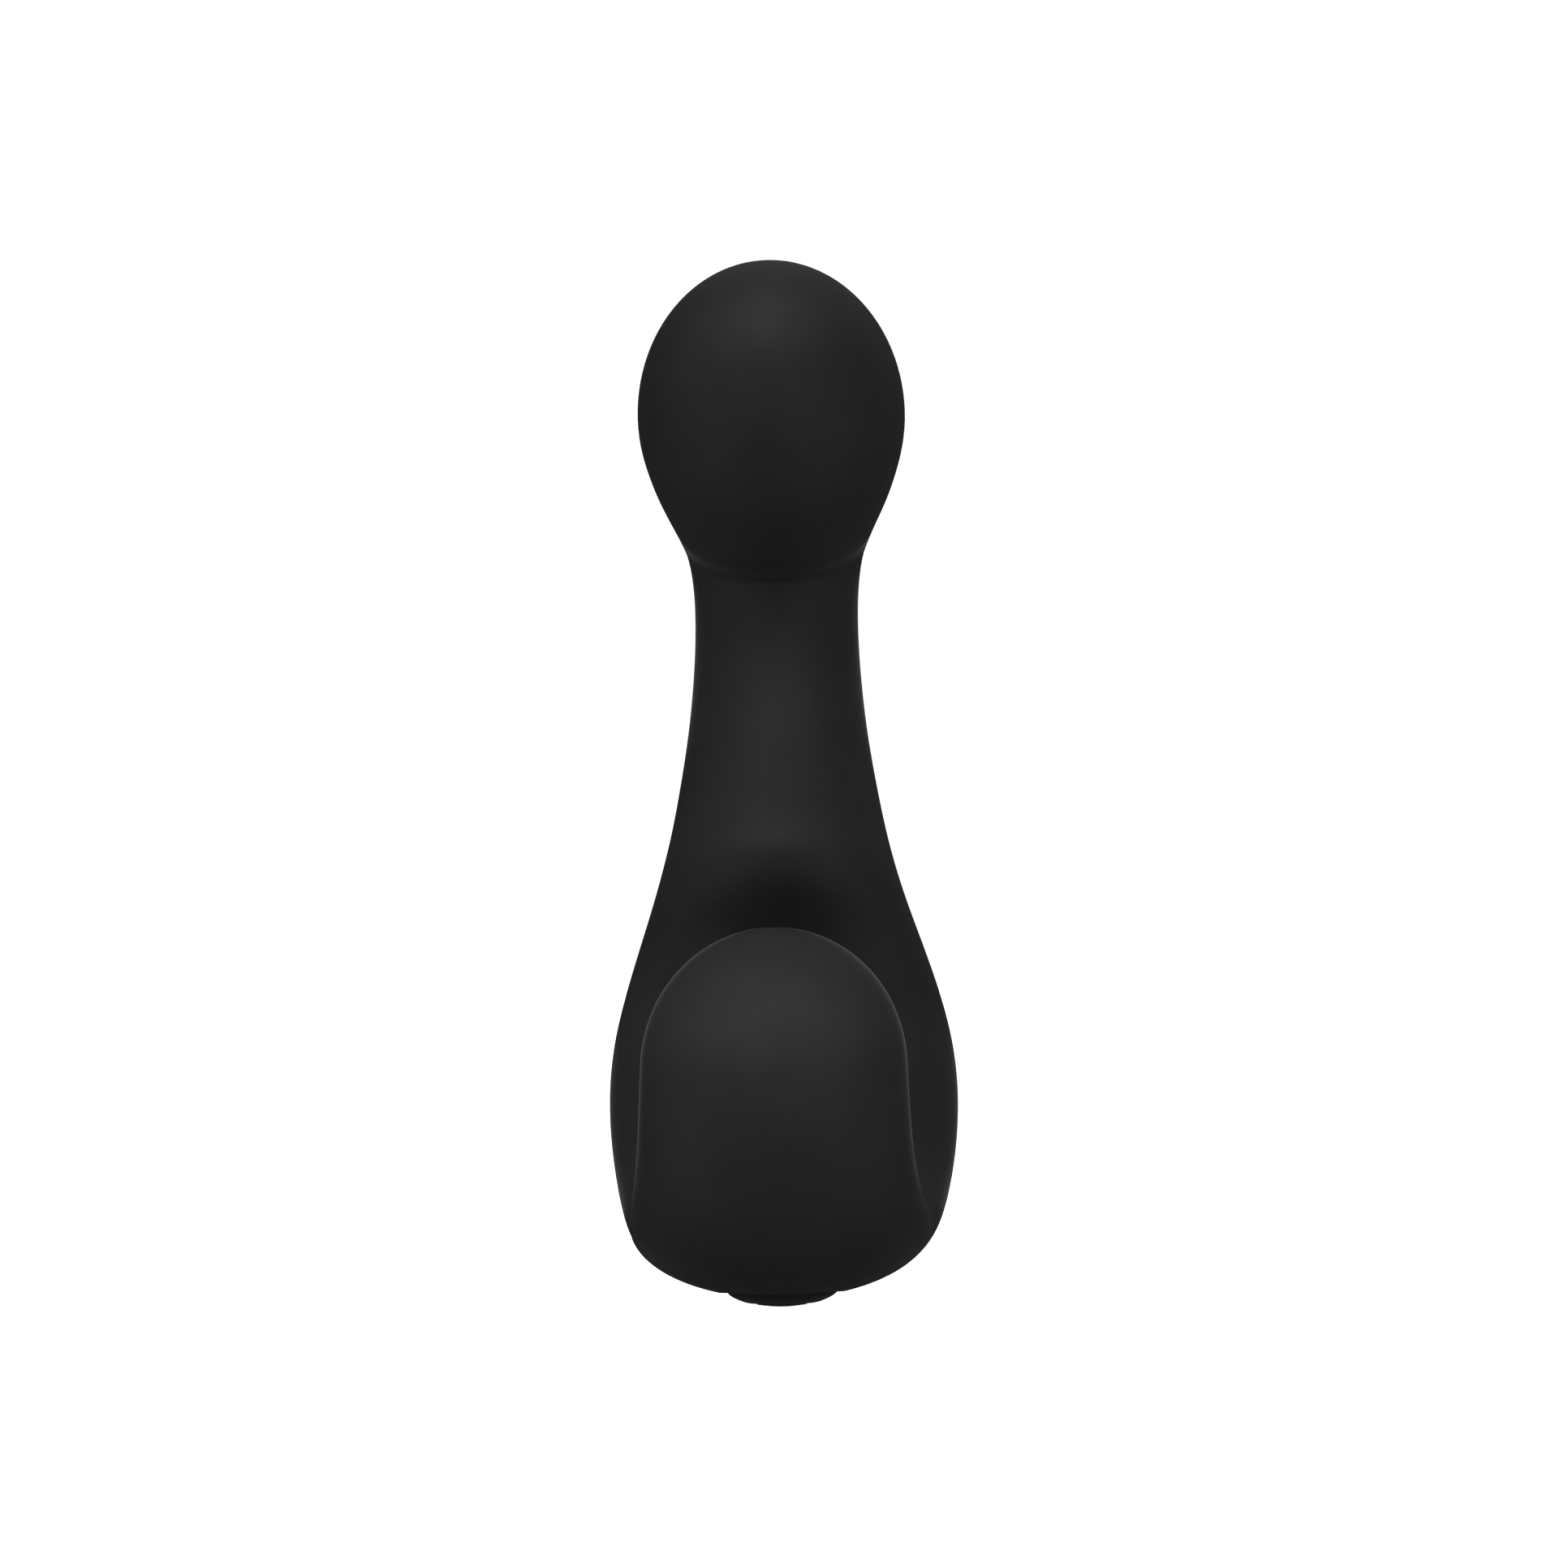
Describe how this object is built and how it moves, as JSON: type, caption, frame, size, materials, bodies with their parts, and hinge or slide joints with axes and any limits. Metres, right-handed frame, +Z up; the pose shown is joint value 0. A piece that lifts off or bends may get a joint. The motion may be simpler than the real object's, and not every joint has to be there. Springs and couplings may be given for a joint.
{
  "type": "hand-held massager",
  "caption": "Curved hand-held vibrating massager: silicone-covered J-shaped body with an egg-shaped ball head, a short broad front arm and a raised control panel with a button.",
  "frame": {"origin": "middle of the bounding box's underside, level with the lowest point of the power button's dome", "axes": "+Z up from the control panel to the top of the ball head, -Y towards the front arm, +X to the right seen from the front"},
  "size_m": [0.0454, 0.0568, 0.135],
  "materials": {
    "silicone": "matte black silicone, soft touch, faint sheen",
    "black_abs": "satin black moulded ABS",
    "grey_abs": "grey moulded ABS",
    "steel": "plated steel",
    "copper": "enamelled copper windings and bronze",
    "gold": "gold-plated contact",
    "magnet": "nickel-plated magnet",
    "rubber": "soft black rubber",
    "board": "green solder mask",
    "chip": "black epoxy package",
    "white_nylon": "white nylon",
    "clear_lens": "clear moulded plastic",
    "foil": "aluminium laminate pouch",
    "foam": "closed-cell foam",
    "red_pvc": "red wire insulation",
    "black_pvc": "black wire insulation"
  },
  "bodies": {
    "body": {"silicone_skin": "silicone", "core_shell_left": "grey_abs", "core_shell_right": "grey_abs", "core_screw_1": "steel", "core_screw_2": "steel", "core_screw_3": "steel", "core_screw_4": "steel", "control_panel": "black_abs", "button_seal": "rubber", "tact_switch_body": "chip", "charge_pin_left": "gold", "charge_pin_right": "gold", "charge_magnet_left": "magnet", "charge_magnet_right": "magnet", "light_pipe": "clear_lens", "status_light": "clear_lens", "control_board": "board", "controller_chip": "chip", "charger_chip": "chip", "power_coil": "chip", "head_lead_connector": "white_nylon", "arm_lead_connector": "white_nylon", "battery_connector": "white_nylon", "battery_cell": "foil", "battery_pad": "foam", "head_motor_can": "steel", "head_motor_end_cap": "white_nylon", "head_motor_magnet": "magnet", "head_motor_bush": "copper", "head_motor_sleeve": "rubber", "head_motor_cradle": "grey_abs", "arm_motor_can": "steel", "arm_motor_end_cap": "white_nylon", "arm_motor_magnet": "magnet", "arm_motor_bush": "copper", "arm_motor_sleeve": "rubber", "head_lead_red": "red_pvc", "head_lead_black": "black_pvc", "arm_lead_red": "red_pvc", "arm_lead_black": "black_pvc", "battery_lead_red": "red_pvc", "battery_lead_black": "black_pvc"},
    "head_rotor": {"head_motor_rotor": "copper", "head_motor_weight": "steel"},
    "arm_rotor": {"arm_motor_rotor": "copper", "arm_motor_weight": "steel"},
    "button": {"power_button": "black_abs", "tact_switch_plunger": "steel"}
  },
  "joints": [
    {"name": "head_motor_spin", "type": "hinge", "parent": "body", "child": "head_rotor", "pos_m": [0, 0.01095, 0.10538], "axis": [0, -0.4848, 0.8746], "continuous": true},
    {"name": "arm_motor_spin", "type": "hinge", "parent": "body", "child": "arm_rotor", "pos_m": [0, -0.01928, 0.0198], "axis": [0, 0, 1], "continuous": true},
    {"name": "power_button_press", "type": "slide", "parent": "body", "child": "button", "axis": [0, 0, 1], "range_m": [0, 0.0005], "stiffness_N_per_m": 600}
  ]
}
